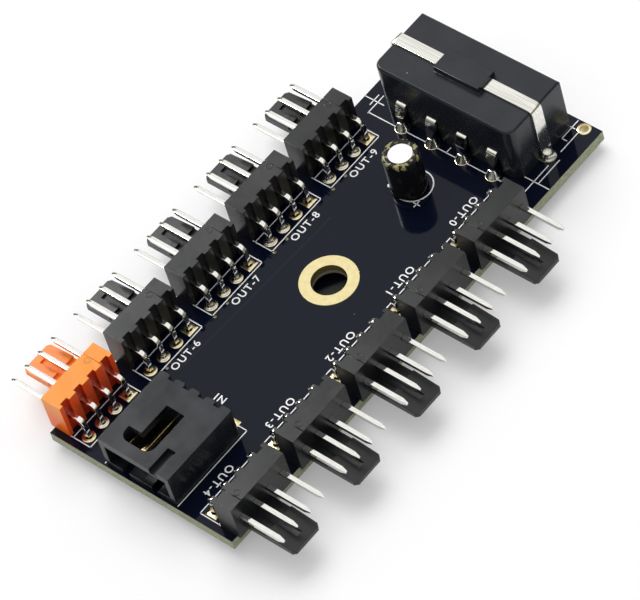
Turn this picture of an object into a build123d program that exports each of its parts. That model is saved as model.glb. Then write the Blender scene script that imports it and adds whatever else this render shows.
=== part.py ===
"""Fan hub: a circuit board that shares one supply and one speed signal between ten fans.

The origin is the centre of the mounting hole on the board's top face. +X runs along the board
towards the power connector, +Y towards the row with the coloured header, +Z up. Millimetres.
"""

import os
from math import atan2, degrees, hypot

from build123d import *

# Circuit board
board_thickness = 1.6
header_end_margin = 1.0
row_spacing = 21.4
row_edge_margin = 4.75
mounting_hole_diameter = 4.9
mounting_ring_diameter = 8.0
corner_hole_diameter = 1.3
corner_hole_inset = 0.95
corner_hole_edge_margin = 2.3
plating_thickness = 0.06

# Square pins, shared by the fan headers and the signal inlet
pin_pitch = 2.54
pin_count = 4
pin_side = 0.64
pin_elbow = 0.4
pin_tip_length = 0.9
pin_tip_inset = 0.17
pin_clearance = 0.03
pin_hole_diameter = 1.1
tail_length = 1.3
tail_hole_sides = 8

# Fan headers, measured outwards from their row of pads
headers_per_row = 5
header_pitch = 12.0
header_end_wall = 1.27
header_height = 5.85
tail_run = 2.05
comb_depth = 0.5
comb_notch_width = 1.2
header_wall_thickness = 2.79
header_pin_height = 3.27
header_pin_reach = 7.0
seam_offset = 2.0
seam_width = 0.14
seam_depth = 0.14

# Friction lock under the pins of each fan header
lock_width = 5.0
lock_pin_offset = 0.5
lock_reach = 8.05
lock_underside = 0.8
lock_thickness = 0.8
lock_ramp_height = 0.4
lock_tip_drop = 0.15
lock_step_reach = 3.5
lock_corner = 0.45
lock_groove_width = 1.0
lock_groove_depth = 0.35
lock_groove_end = 1.2

# Power connector
power_pitch = 5.08
power_count = 4
power_pad_gap = 2.59
power_tail_setback = 0.99
power_depth = 10.49
power_mouth_inset = 1.57
power_end_margin = 3.85
power_height = 9.35
power_rear_radius = 1.5
power_edge_chamfer = 0.25
power_wall = 1.0
power_cavity_bevel = 3.4
power_cavity_depth = 8.0
power_axis_height = 4.7
contact_diameter = 2.1
contact_recess = 1.2
contact_tip_chamfer = 0.6
contact_tail_width = 1.5
contact_leg_width = 0.9
contact_tail_thickness = 0.5
contact_tail_shoulder = 2.7
contact_tail_knee = 1.6
contact_slot_clearance = 0.12
contact_slot_depth = 1.0
contact_hole_diameter = 1.3

# Hold-down strap over the power connector, and the bridge that keeps it in place
strap_width = 1.9
strap_thickness = 0.4
strap_bend_radius = 0.8
strap_setback = 4.26
strap_clearance = 0.03
strap_leg_width = 1.1
strap_hole_diameter = 1.5
bridge_length = 7.46
bridge_width = 3.48
bridge_height = 0.95
bridge_slot_clearance = 0.06

# Signal inlet at the other end of the board
inlet_mouth_inset = 0.41
inlet_depth = 11.82
inlet_side_wall = 2.15
inlet_height = 5.36
inlet_floor = 0.9
inlet_top_wall = 1.1
inlet_wall = 0.85
inlet_cavity_depth = 8.6
inlet_pin_height = 2.7
inlet_pin_recess = 1.5
inlet_comb_depth = 0.65
inlet_notch_width = 0.95
inlet_rib_chamfer = 0.25
inlet_tail_run = 0.62
latch_slot_width = 3.0
latch_slot_offset = 0.15
latch_slot_front = 1.8
latch_hook_reach = 2.1
latch_hook_width = 1.9
latch_corner_radius = 1.3
key_groove_width = 1.3
key_groove_length = 3.8
key_groove_depth = 0.8
key_groove_offset = -3.4
lip_notch_width = 1.15
lip_notch_length = 3.0
lip_notch_spacing = 5.0

# Capacitor
capacitor_setback = 7.1
capacitor_offset = 0.6
capacitor_diameter = 5.0
capacitor_height = 7.0
sleeve_thickness = 0.12
sleeve_lip = 0.75
sleeve_edge = 0.1
sleeve_groove_height = 1.6
sleeve_groove_depth = 0.2
bung_height = 0.4
bung_diameter = 3.8
lead_diameter = 0.5
lead_spacing = 2.0
lead_hole_diameter = 0.8

# Solder joints
pin_solder_radius = 0.95
power_solder_radius = 1.05
strap_solder_radius = 1.2
lead_solder_radius = 0.8
solder_height = 0.75
power_solder_height = 1.4
solder_rim = 0.08
solder_clearance = 0.02
solder_sides = 6

# Places worked out from the sizes above
pin_offsets = [pin_pitch * (n - (pin_count - 1) / 2) for n in range(pin_count)]
contact_offsets = [power_pitch * (n - (power_count - 1) / 2) for n in range(power_count)]
pin_slot = pin_side + 2 * pin_clearance
header_length = (pin_count - 1) * pin_pitch + 2 * header_end_wall
header_run = (headers_per_row - 1) * header_pitch + header_length
power_zone = power_pad_gap + power_tail_setback + power_depth + power_mouth_inset
board_length = header_end_margin + header_run + power_zone
board_width = row_spacing + 2 * row_edge_margin
board_end = board_length / 2
board_side = board_width / 2
row_offset = row_spacing / 2
tail_end = -board_thickness - tail_length
first_header = -board_end + header_end_margin + header_length / 2
header_centers = [first_header + n * header_pitch for n in range(headers_per_row)]
wall_rear = tail_run + comb_depth
wall_front = wall_rear + header_wall_thickness
lock_top = lock_underside + lock_thickness
power_front = board_end - power_mouth_inset
power_rear = power_front - power_depth
power_pads = power_rear - power_tail_setback
power_width = (power_count - 1) * power_pitch + 2 * power_end_margin
strap_center = power_rear + strap_setback + strap_width / 2
strap_leg_offset = power_width / 2 + strap_clearance + strap_thickness / 2
inlet_mouth = -board_end + inlet_mouth_inset
inlet_rear = inlet_mouth + inlet_depth
inlet_pads = inlet_rear + inlet_comb_depth + inlet_tail_run
inlet_width = (pin_count - 1) * pin_pitch + 2 * inlet_side_wall
capacitor_center = power_pads - capacitor_setback
lead_places = [(capacitor_center + side * lead_spacing / 2, capacitor_offset) for side in (-1, 1)]
corner_place = (board_end - corner_hole_inset, corner_hole_edge_margin - board_side)
contact_places = [(power_pads, contact_offset) for contact_offset in contact_offsets]
strap_places = [(strap_center, side * strap_leg_offset) for side in (-1, 1)]
inlet_places = [(inlet_pads, pin_offset) for pin_offset in pin_offsets]


def save(piece, name):
    """Label a finished piece and write it under its own name."""
    piece.part.label = name
    export_step(piece.part, f"parts/{name}.step")


def square_wire(path):
    """Square pin along a bent path, pointed at the path's far end."""
    with BuildPart() as wire:
        with BuildSketch(Plane(origin=path @ 0, z_dir=path % 0)):
            Rectangle(pin_side, pin_side)
        sweep(path=path, transition=Transition.RIGHT)
        tip = wire.faces().sort_by_distance(path @ 1)[0]
        chamfer(tip.edges(), length=pin_tip_inset, length2=pin_tip_length, reference=tip)
    return wire.part


def solder_joint(radius, tail_x, tail_y, height=solder_height):
    """Six-sided cone of solder round one tail, standing on its base at the origin."""
    rim = hypot(tail_x, tail_y) / 2 + solder_rim
    slope = degrees(atan2(radius - rim, height))
    with BuildPart() as joint:
        with BuildSketch():
            RegularPolygon(radius, solder_sides)
        extrude(amount=height, taper=slope)
        with BuildSketch():
            Rectangle(tail_x + 2 * solder_clearance, tail_y + 2 * solder_clearance)
        extrude(amount=height, mode=Mode.SUBTRACT)
    return joint.part


def under_board(places):
    """Locations on the board's underside, facing down."""
    return [Location((x, y, -board_thickness), (180, 0, 0)) for x, y in places]


os.makedirs("parts", exist_ok=True)

# Circuit board: two round drilled holes, and an eight-sided hole for every tail
header_hole_places = [
    (center + pin_offset, side * row_offset)
    for center in header_centers
    for pin_offset in pin_offsets
    for side in (-1, 1)
]
drilled_holes = [
    (mounting_hole_diameter, (0, 0)),
    (corner_hole_diameter, corner_place),
]
tail_holes = [
    (pin_hole_diameter, header_hole_places + inlet_places),
    (contact_hole_diameter, contact_places),
    (strap_hole_diameter, strap_places),
    (lead_hole_diameter, lead_places),
]
with BuildPart() as circuit_board:
    with BuildSketch():
        Rectangle(board_length, board_width)
        for diameter, place in drilled_holes:
            with Locations(place):
                Circle(diameter / 2, mode=Mode.SUBTRACT)
        for diameter, places in tail_holes:
            with Locations(*places):
                RegularPolygon(
                    diameter / 2,
                    tail_hole_sides,
                    major_radius=False,
                    rotation=180 / tail_hole_sides,
                    mode=Mode.SUBTRACT,
                )
    extrude(amount=-board_thickness)
save(circuit_board, "circuit_board")

# Plating of the mounting hole: a ring on each face of the board
with BuildPart() as mounting_hole_plating:
    for ring_bottom in (0, -board_thickness - plating_thickness):
        with BuildSketch(Plane.XY.offset(ring_bottom)):
            Circle(mounting_ring_diameter / 2)
            Circle(mounting_hole_diameter / 2, mode=Mode.SUBTRACT)
        extrude(amount=plating_thickness)
save(mounting_hole_plating, "mounting_hole_plating")

# Fan header housing: a wall with a comb behind it and a friction lock below the pins
with BuildPart() as header_housing:
    with BuildSketch():
        with Locations((0, tail_run)):
            Rectangle(header_length, comb_depth + header_wall_thickness, align=(Align.CENTER, Align.MIN))
            with GridLocations(pin_pitch, 1, pin_count, 1):
                Rectangle(
                    comb_notch_width, comb_depth, align=(Align.CENTER, Align.MIN), mode=Mode.SUBTRACT
                )
    extrude(amount=header_height)

    lock_center = lock_pin_offset * pin_pitch
    with BuildSketch(Plane.YZ.offset(lock_center - lock_width / 2)):
        with BuildLine():
            lock_end = wall_front + lock_reach
            lock_step = wall_front + lock_step_reach
            Polyline(
                (wall_front, lock_underside),
                (lock_end, lock_underside),
                (lock_end, lock_top - lock_tip_drop),
                (lock_step, lock_top + lock_ramp_height),
                (lock_step, lock_top),
                (wall_front, lock_top),
                close=True,
            )
        make_face()
    extrude(amount=lock_width)
    chamfer(header_housing.edges().filter_by(Axis.Z).sort_by(Axis.Y)[-2:], lock_corner)

    with BuildSketch(Plane.XY.offset(lock_top - lock_groove_depth)):
        with Locations((lock_center, wall_front)):
            Rectangle(lock_groove_width, lock_reach - lock_groove_end, align=(Align.CENTER, Align.MIN))
    extrude(amount=lock_groove_depth + lock_ramp_height, mode=Mode.SUBTRACT)

    with BuildSketch(Plane.XZ.offset(-wall_front)):
        with Locations((0, header_pin_height)):
            with GridLocations(pin_pitch, 1, pin_count, 1):
                Rectangle(pin_slot, pin_slot)
    extrude(amount=header_wall_thickness, mode=Mode.SUBTRACT)

    with BuildSketch(Plane.XY.offset(header_height)):
        with Locations((header_length / 2 - seam_offset, tail_run)):
            Rectangle(seam_width, comb_depth + header_wall_thickness, align=(Align.CENTER, Align.MIN))
    extrude(amount=-seam_depth, mode=Mode.SUBTRACT)

# Fan header pins: square wire, pointed at the fan's end and bent down into the board
with BuildLine(Plane.YZ) as header_pin_path:
    Polyline(
        (0, tail_end),
        (0, header_pin_height - pin_elbow),
        (pin_elbow, header_pin_height),
        (wall_front + header_pin_reach, header_pin_height),
    )
header_pin = square_wire(header_pin_path.line)
with BuildPart() as header_pins:
    with GridLocations(pin_pitch, 1, pin_count, 1):
        add(header_pin)

# Solder joints of one fan header, under the board
pin_joint = solder_joint(pin_solder_radius, pin_side, pin_side)
with BuildPart() as header_solder:
    with Locations(*under_board([(pin_offset, 0) for pin_offset in pin_offsets])):
        add(pin_joint)

# The ten headers: 0 to 4 face -Y from the power end, 5 to 9 face +Y back towards it
near_row = [Location((center, -row_offset, 0), (0, 0, 180)) for center in reversed(header_centers)]
far_row = [Location((center, row_offset, 0)) for center in header_centers]
header_pieces = [("housing", header_housing), ("pins", header_pins), ("solder", header_solder)]
for number, place in enumerate(near_row + far_row):
    for piece_name, piece in header_pieces:
        with BuildPart() as placed_piece:
            with Locations(place):
                add(piece.part)
        save(placed_piece, f"fan_header_{number}_{piece_name}")

# Power connector housing: a block with a cavity that has two bevelled corners, and the bridge on top
contact_tail_height = power_axis_height - contact_diameter / 2 + contact_tail_thickness / 2
contact_floor = power_front - power_cavity_depth
contact_slot_width = contact_tail_width + 2 * contact_slot_clearance
cavity_side = power_width / 2 - power_wall
with BuildPart() as power_connector_housing:
    with BuildSketch(Plane.YZ.offset(power_rear)):
        Rectangle(power_width, power_height, align=(Align.CENTER, Align.MIN))
    extrude(amount=power_depth)
    fillet(power_connector_housing.edges().filter_by(Axis.Z).group_by(Axis.X)[0], power_rear_radius)
    chamfer(power_connector_housing.faces().sort_by(Axis.Z)[-1].edges(), power_edge_chamfer)
    with BuildSketch(Plane.YZ.offset(contact_floor)):
        with BuildLine():
            Polyline(
                (-cavity_side, power_height - power_wall),
                (-cavity_side, power_wall + power_cavity_bevel),
                (power_cavity_bevel - cavity_side, power_wall),
                (cavity_side - power_cavity_bevel, power_wall),
                (cavity_side, power_wall + power_cavity_bevel),
                (cavity_side, power_height - power_wall),
                close=True,
            )
        make_face()
    extrude(amount=power_cavity_depth, mode=Mode.SUBTRACT)

    # Slots that let the contact tails out of the back and down to the board
    slot_top = contact_tail_height + contact_tail_thickness / 2 + contact_slot_clearance
    with BuildSketch(Plane.YZ.offset(power_rear)):
        with GridLocations(power_pitch, 1, power_count, 1):
            Rectangle(contact_slot_width, slot_top, align=(Align.CENTER, Align.MIN))
    extrude(amount=contact_slot_depth, mode=Mode.SUBTRACT)
    with BuildSketch(Plane.YZ.offset(power_rear)):
        with Locations((0, contact_tail_height)):
            with GridLocations(power_pitch, 1, power_count, 1):
                Rectangle(contact_slot_width, contact_tail_thickness + 2 * contact_slot_clearance)
    extrude(amount=contact_floor - power_rear, mode=Mode.SUBTRACT)

    # Bridge that the strap passes under
    with BuildSketch(Plane.XY.offset(power_height)):
        with Locations((strap_center, 0)):
            Rectangle(bridge_width, bridge_length)
    extrude(amount=bridge_height)
    with BuildSketch(Plane.XY.offset(power_height)):
        with Locations((strap_center, 0)):
            Rectangle(strap_width + 2 * bridge_slot_clearance, bridge_length)
    extrude(amount=strap_thickness + bridge_slot_clearance, mode=Mode.SUBTRACT)
save(power_connector_housing, "power_connector_housing")

# Power contacts: a round nose on a flat tail that is bent down and narrowed to a leg for the board
with BuildPart() as contact:
    with BuildLine(Plane.XZ) as tail_path:
        Polyline(
            (contact_floor, contact_tail_height),
            (power_rear + contact_slot_depth / 2, contact_tail_height),
            (power_rear, contact_tail_height - contact_slot_depth / 2),
            (power_pads, contact_tail_knee),
            (power_pads, tail_end),
        )
    with BuildSketch(Plane(origin=tail_path.line @ 0, x_dir=(0, 1, 0), z_dir=tail_path.line % 0)):
        Rectangle(contact_tail_width, contact_tail_thickness)
    sweep(transition=Transition.RIGHT)
    with BuildSketch(Plane.YZ.offset(power_pads - contact_tail_thickness)):
        with BuildLine():
            Polyline(
                (contact_leg_width / 2, tail_end),
                (contact_tail_width / 2, tail_end),
                (contact_tail_width / 2, contact_tail_shoulder),
                (contact_leg_width / 2, contact_tail_knee),
                close=True,
            )
        make_face()
        mirror(about=Plane.YZ)
    extrude(amount=power_tail_setback + contact_tail_thickness, mode=Mode.SUBTRACT)
    with BuildSketch(Plane.YZ.offset(contact_floor)):
        with Locations((0, power_axis_height)):
            Circle(contact_diameter / 2)
    extrude(amount=power_cavity_depth - contact_recess)
    chamfer(contact.edges().sort_by(Axis.X)[-1], contact_tip_chamfer)
for number, contact_offset in enumerate(contact_offsets, start=1):
    with BuildPart() as power_contact:
        with Locations((0, contact_offset, 0)):
            add(contact.part)
    save(power_contact, f"power_contact_{number}")

# Hold-down strap: one strip folded over the connector, with a narrow leg into the board on each side
with BuildPart() as power_connector_strap:
    strap_outer = strap_leg_offset + strap_thickness / 2
    strap_top = power_height + strap_thickness
    with BuildSketch(Plane.YZ.offset(strap_center - strap_width / 2)) as strap_profile:
        Rectangle(2 * strap_outer, strap_top, align=(Align.CENTER, Align.MIN))
        fillet(strap_profile.vertices().group_by(Axis.Z)[-1], strap_bend_radius)
        Rectangle(
            2 * (strap_outer - strap_thickness),
            power_height,
            align=(Align.CENTER, Align.MIN),
            mode=Mode.SUBTRACT,
        )
    extrude(amount=strap_width)
    with BuildSketch(Plane.XY.offset(tail_end)):
        with Locations(*strap_places):
            Rectangle(strap_leg_width, strap_thickness)
    extrude(amount=strap_thickness - tail_end)
save(power_connector_strap, "power_connector_strap")

# Power solder: cones above and below the board on the tails, and below it on the strap legs
contact_section = (contact_tail_thickness, contact_leg_width)
contact_joint = solder_joint(power_solder_radius, *contact_section)
tall_joint = solder_joint(power_solder_radius, *contact_section, power_solder_height)
strap_joint = solder_joint(strap_solder_radius, strap_leg_width, strap_thickness)
with BuildPart() as power_connector_solder:
    with Locations(*contact_places):
        add(tall_joint)
    with Locations(*under_board(contact_places)):
        add(contact_joint)
    with Locations(*under_board(strap_places)):
        add(strap_joint)
save(power_connector_solder, "power_connector_solder")

# Signal inlet housing: an open box with a hooked latch slot, a key groove and a comb at its back
inlet_cavity_height = inlet_height - inlet_floor - inlet_top_wall
inlet_cavity_end = inlet_mouth + inlet_cavity_depth
with BuildPart() as input_connector_housing:
    with BuildSketch():
        with Locations((inlet_mouth, 0)):
            Rectangle(
                inlet_depth + inlet_comb_depth, inlet_width, align=(Align.MIN, Align.CENTER)
            )
        with Locations((inlet_rear, 0)):
            with GridLocations(1, pin_pitch, 1, pin_count):
                Rectangle(
                    inlet_comb_depth, inlet_notch_width, align=(Align.MIN, Align.CENTER), mode=Mode.SUBTRACT
                )
    extrude(amount=inlet_height)
    chamfer(input_connector_housing.edges().filter_by(Axis.Z).group_by(Axis.X)[-1], inlet_rib_chamfer)

    with BuildSketch(Plane.YZ.offset(inlet_mouth)):
        with Locations((0, inlet_floor)):
            Rectangle(
                inlet_width - 2 * inlet_wall, inlet_cavity_height, align=(Align.CENTER, Align.MIN)
            )
    extrude(amount=inlet_cavity_depth, mode=Mode.SUBTRACT)

    latch_front = inlet_mouth + latch_slot_front
    latch_side = latch_slot_offset + latch_slot_width / 2
    with BuildSketch(Plane.XY.offset(inlet_height)) as latch_slot:
        with Locations((latch_front, latch_slot_offset)):
            Rectangle(
                inlet_cavity_end - latch_front, latch_slot_width, align=(Align.MIN, Align.CENTER)
            )
        fillet(latch_slot.vertices().group_by(Axis.X)[0], latch_corner_radius)
        with Locations((latch_front, latch_slot_offset)):
            Rectangle(
                latch_hook_width, latch_side + latch_hook_reach - latch_slot_offset, align=Align.MIN
            )
        fillet(latch_slot.vertices().group_by(Axis.Y)[-1].sort_by(Axis.X)[0], latch_corner_radius)
    extrude(amount=-inlet_top_wall, mode=Mode.SUBTRACT)

    with BuildSketch(Plane.XY.offset(inlet_height)):
        with Locations((inlet_mouth, key_groove_offset)):
            Rectangle(key_groove_length, key_groove_width, align=(Align.MIN, Align.CENTER))
    extrude(amount=-key_groove_depth, mode=Mode.SUBTRACT)

    with BuildSketch():
        with Locations((inlet_mouth, 0)):
            with GridLocations(1, lip_notch_spacing, 1, 2):
                Rectangle(lip_notch_length, lip_notch_width, align=(Align.MIN, Align.CENTER))
    extrude(amount=inlet_floor, mode=Mode.SUBTRACT)

    with BuildSketch(Plane.YZ.offset(inlet_cavity_end)):
        with Locations((0, inlet_pin_height)):
            with GridLocations(pin_pitch, 1, pin_count, 1):
                Rectangle(pin_slot, pin_slot)
    extrude(amount=inlet_rear - inlet_cavity_end, mode=Mode.SUBTRACT)
save(input_connector_housing, "input_connector_housing")

# Signal inlet pins and their solder
with BuildLine(Plane.XZ) as inlet_pin_path:
    Polyline(
        (inlet_pads, tail_end),
        (inlet_pads, inlet_pin_height - pin_elbow),
        (inlet_pads - pin_elbow, inlet_pin_height),
        (inlet_mouth + inlet_pin_recess, inlet_pin_height),
    )
inlet_pin = square_wire(inlet_pin_path.line)
with BuildPart() as input_connector_pins:
    with GridLocations(1, pin_pitch, 1, pin_count):
        add(inlet_pin)
save(input_connector_pins, "input_connector_pins")

with BuildPart() as input_connector_solder:
    with Locations(*under_board(inlet_places)):
        add(pin_joint)
save(input_connector_solder, "input_connector_solder")

# Capacitor: a sealed can in a printed sleeve that is turned over its top edge, on a rubber bung
can_radius = capacitor_diameter / 2 - sleeve_thickness
can_plane = Plane(origin=(capacitor_center, capacitor_offset, 0), x_dir=(1, 0, 0), z_dir=(0, -1, 0))
groove_bottom = sleeve_groove_height - sleeve_groove_depth
groove_top = sleeve_groove_height + sleeve_groove_depth
can_top = capacitor_height - sleeve_thickness


def crimped_side(radius):
    """Points up the side of the can, in at the crimp and out again."""
    return [
        (radius, bung_height),
        (radius, groove_bottom),
        (radius - sleeve_groove_depth, sleeve_groove_height),
        (radius, groove_top),
    ]


with BuildPart() as capacitor_can:
    with BuildSketch(can_plane):
        with BuildLine():
            Polyline(
                (0, bung_height),
                *crimped_side(can_radius),
                (can_radius, can_top),
                (0, can_top),
                close=True,
            )
        make_face()
    revolve(axis=Axis((capacitor_center, capacitor_offset, 0), (0, 0, 1)))
save(capacitor_can, "capacitor_can")

with BuildPart() as capacitor_sleeve:
    with BuildSketch(can_plane):
        with BuildLine():
            sleeve_radius = can_radius + sleeve_thickness
            Polyline(
                *crimped_side(can_radius),
                (can_radius, can_top),
                (can_radius - sleeve_lip, can_top),
                (can_radius - sleeve_lip, capacitor_height),
                (sleeve_radius - sleeve_edge, capacitor_height),
                (sleeve_radius, capacitor_height - sleeve_edge),
                *reversed(crimped_side(sleeve_radius)),
                close=True,
            )
        make_face()
    revolve(axis=Axis((capacitor_center, capacitor_offset, 0), (0, 0, 1)))
save(capacitor_sleeve, "capacitor_sleeve")

with BuildPart() as capacitor_bung:
    with BuildSketch():
        with Locations((capacitor_center, capacitor_offset)):
            Circle(bung_diameter / 2)
    extrude(amount=bung_height)
save(capacitor_bung, "capacitor_bung")

with BuildPart() as capacitor_leads:
    with BuildSketch():
        with Locations(*lead_places):
            RegularPolygon(lead_diameter / 2, 8)
    extrude(amount=tail_end)
save(capacitor_leads, "capacitor_leads")

lead_joint = solder_joint(lead_solder_radius, lead_diameter, lead_diameter)
with BuildPart() as capacitor_solder:
    with Locations(*under_board(lead_places)):
        add(lead_joint)
save(capacitor_solder, "capacitor_solder")
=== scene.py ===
# %% [markdown]
# # A fan hub, dressed for its photograph
# The hub is a small dark circuit board. Ten right-angle fan headers line its long edges, a power
# inlet stands at one end, a signal inlet at the other, and one capacitor stands between them. The
# solids come from the CAD model as a fixed frame, in metres. This lesson eases their edges, adds
# what is too thin for CAD, such as plating, ink and solder, and gives every surface a finish.
# Headers 0 to 4 stand in the near row and 5 to 9 in the far one, and number 5 is orange.

# %% Load the solids
from math import radians, sqrt

import bmesh
import bpy
from mathutils import Matrix, Vector


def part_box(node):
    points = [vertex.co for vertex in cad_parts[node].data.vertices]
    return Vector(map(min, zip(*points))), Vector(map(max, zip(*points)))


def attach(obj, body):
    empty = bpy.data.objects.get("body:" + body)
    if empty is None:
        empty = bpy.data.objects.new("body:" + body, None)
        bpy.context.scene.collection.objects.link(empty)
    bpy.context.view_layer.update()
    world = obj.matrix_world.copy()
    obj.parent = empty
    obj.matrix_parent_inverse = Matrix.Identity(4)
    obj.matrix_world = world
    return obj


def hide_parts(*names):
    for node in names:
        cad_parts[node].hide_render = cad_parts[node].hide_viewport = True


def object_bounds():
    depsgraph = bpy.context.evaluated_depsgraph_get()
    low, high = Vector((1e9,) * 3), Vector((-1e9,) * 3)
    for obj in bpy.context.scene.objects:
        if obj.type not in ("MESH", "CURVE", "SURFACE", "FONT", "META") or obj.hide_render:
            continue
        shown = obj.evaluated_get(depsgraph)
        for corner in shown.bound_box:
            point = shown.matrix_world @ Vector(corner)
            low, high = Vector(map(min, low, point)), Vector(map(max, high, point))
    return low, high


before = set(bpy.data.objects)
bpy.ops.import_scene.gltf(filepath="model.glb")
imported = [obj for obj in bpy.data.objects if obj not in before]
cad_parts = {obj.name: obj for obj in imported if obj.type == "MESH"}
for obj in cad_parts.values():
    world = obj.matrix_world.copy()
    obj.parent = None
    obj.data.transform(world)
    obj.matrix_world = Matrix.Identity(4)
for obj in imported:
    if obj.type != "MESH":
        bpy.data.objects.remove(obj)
cad_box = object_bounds()
MM = 0.001
HEADERS, NEAR_ROW, ORANGE = 10, range(5), 5
print(len(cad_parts), "nodes, lowest corner", tuple(round(v / MM, 2) for v in cad_box[0]))

# %% [markdown]
# ## The camera
# The photograph was taken from a long way off, from above the corner between the signal inlet and
# the near row, with the camera tilted a little to one side. A long lens keeps the board's edges
# almost parallel. The aim point, the two angles and the roll place it exactly, and its distance
# goes with the lens.

# %% Camera
aim = Vector((-3.019, -1.001, 0)) * MM
azimuth, elevation, roll = radians(-35.5774), radians(51.1180), radians(-18.3607)
distance = 574.199 * MM
lens = bpy.data.cameras.new("photo_camera")
lens.sensor_width = 36
lens.lens = 254.69
lens.clip_start = 0.05
camera = bpy.data.objects.new("photo_camera", lens)
turn = Matrix.Rotation(azimuth, 4, "Z") @ Matrix.Rotation(radians(90) - elevation, 4, "X")
step_back = Matrix.Translation((0, 0, distance)) @ Matrix.Rotation(roll, 4, "Z")
camera.matrix_world = Matrix.Translation(aim) @ turn @ step_back
bpy.context.scene.collection.objects.link(camera)
bpy.context.scene.camera = camera
print("camera at", tuple(round(v / MM, 1) for v in camera.matrix_world.translation))

# %% [markdown]
# ## Sums that make shader nodes
# A finish is a tree of nodes, and long trees are hard to read as calls. So one small class wraps
# a socket, and adding or multiplying two of them adds a Math node.


# %% Sums on sockets
class Wire:
    """One output socket. Sums on it add Math nodes to its tree."""

    def __init__(self, tree, socket):
        self.tree = tree
        self.socket = socket

    def also(self, name):
        """Another output of the same node."""
        return Wire(self.tree, self.socket.node.outputs[name])

    def math(self, operation, *values):
        """A Math node in the same tree."""
        return self.tree.node("ShaderNodeMath", {"operation": operation}, dict(enumerate(values)))

    def __add__(self, other):
        return self.math("ADD", self, other)

    def __sub__(self, other):
        return self.math("SUBTRACT", self, other)

    def __rsub__(self, other):
        return self.math("SUBTRACT", other, self)

    def __mul__(self, other):
        return self.math("MULTIPLY", self, other)

    def __gt__(self, other):
        return self.math("GREATER_THAN", self, other)

    def __lt__(self, other):
        return self.math("LESS_THAN", self, other)

    __radd__ = __add__
    __rmul__ = __mul__


print("sums ready")

# %% [markdown]
# ## One way to add a node
# Every other node goes through one method, which makes it, applies its settings and then fills
# its sockets. Two common jobs get names of their own: a smooth step from 0 to 1, and a blend of
# two colours by a mask.


# %% Trees of nodes
class Tree:
    """A node tree and the one method that adds nodes to it."""

    def __init__(self, node_tree):
        self.node_tree = node_tree

    def node(self, kind, settings=None, sockets=None, output=None):
        """Adds a node and gives back one of its outputs. Stops are those of a colour ramp."""
        made = self.node_tree.nodes.new(kind)
        for name, value in (settings or {}).items():
            if name == "stops":
                ramp = made.color_ramp.elements
                ramp.remove(ramp[1])
                ramp[0].position, ramp[0].color = value[0]
                for position, colour in value[1:]:
                    ramp.new(position).color = colour
            else:
                setattr(made, name, value)
        for name, value in (sockets or {}).items():
            self.feed(made, name, value)
        return Wire(self, next(s for s in made.outputs if s.enabled and output in (None, s.name)))

    def feed(self, node, name, value):
        """Gives a socket a wire or a plain value. The socket is named or counted."""
        inlets = [s for s in node.inputs if s.enabled]
        if isinstance(name, int):
            inlet = inlets[name]
        else:
            inlet = next(s for s in inlets if s.name == name)
        if isinstance(value, Wire):
            self.node_tree.links.new(value.socket, inlet)
        else:
            inlet.default_value = value

    def step(self, value, low, high):
        """0 below low, 1 above high and a smooth rise between them."""
        edges = {"Value": value, "From Min": low, "From Max": high}
        return self.node("ShaderNodeMapRange", {"interpolation_type": "SMOOTHSTEP"}, edges)

    def blend(self, mask, first, second):
        """The first colour where the mask is 0, the second where it is 1."""
        colours = {"Factor": mask, "A": first, "B": second}
        return self.node("ShaderNodeMix", {"data_type": "RGBA"}, colours)


print("trees ready")

# %% [markdown]
# ## What a finish knows
# A finish is a material that reads the place on the object, in millimetres. Noise, dust and bumps
# all lie in that space, so they stay where they are when the camera moves.


# %% Finishes
class Finish(Tree):
    """A material whose nodes read the place on the object, in millimetres."""

    def __init__(self, name, **constants):
        self.material = bpy.data.materials.new(name)
        self.material.use_nodes = True
        super().__init__(self.material.node_tree)
        self.surface = self.node_tree.nodes["Principled BSDF"]
        for socket, value in constants.items():
            self.set(socket.replace("_", " "), value)
        metres = self.node("ShaderNodeTexCoord", output="Object")
        scale = {"Vector": metres, "Scale": 1 / MM}
        self.place = self.node("ShaderNodeVectorMath", {"operation": "SCALE"}, scale)

    def set(self, socket, value):
        """Fills a socket of the surface."""
        self.feed(self.surface, socket, value)

    def axes(self):
        """The three coordinates of the place."""
        along_x = self.node("ShaderNodeSeparateXYZ", {}, {"Vector": self.place}, "X")
        return along_x, along_x.also("Y"), along_x.also("Z")

    def noise(self, per_mm, detail=2.0, stretch=(1, 1, 1)):
        """Clouds between 0 and 1, that many to a millimetre."""
        factors = {0: self.place, 1: stretch}
        place = self.node("ShaderNodeVectorMath", {"operation": "MULTIPLY"}, factors)
        sockets = {"Vector": place, "Scale": per_mm, "Detail": detail}
        return self.node("ShaderNodeTexNoise", {}, sockets, "Fac")

    def dust(self, spacing, share):
        """A few pale specks, at most one in each cell of that spacing."""
        cells = {"Vector": self.place, "Scale": 1 / spacing, "Randomness": 1.0}
        near = self.node("ShaderNodeTexVoronoi", {}, cells, "Distance")
        pick = self.node("ShaderNodeSeparateColor", {}, {"Color": near.also("Color")}, "Red")
        size = 0.04 + 0.03 * pick
        return (near < size) * (pick < share)

    def relief(self, height):
        """Bumps of that height in millimetres."""
        self.set("Normal", self.node("ShaderNodeBump", {}, {"Distance": MM, "Height": height}))

    def paint(self, node):
        """Gives a CAD node this finish in place of its plain one."""
        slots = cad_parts[node].data.materials
        slots.clear()
        slots.append(self.material)


print("finishes ready")

# %% [markdown]
# ## Solder mask over glass fibre
# The board's faces are black ink, baked to a gloss that mirrors the bright room, so most of its
# dark blue-grey is a reflection. One long trace shows through it as a paler line. The sawn edges
# show pale yellow-green glass fibre in layers. One material can do both: height tells the faces
# from the edge, because only an edge lies between them.

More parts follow.
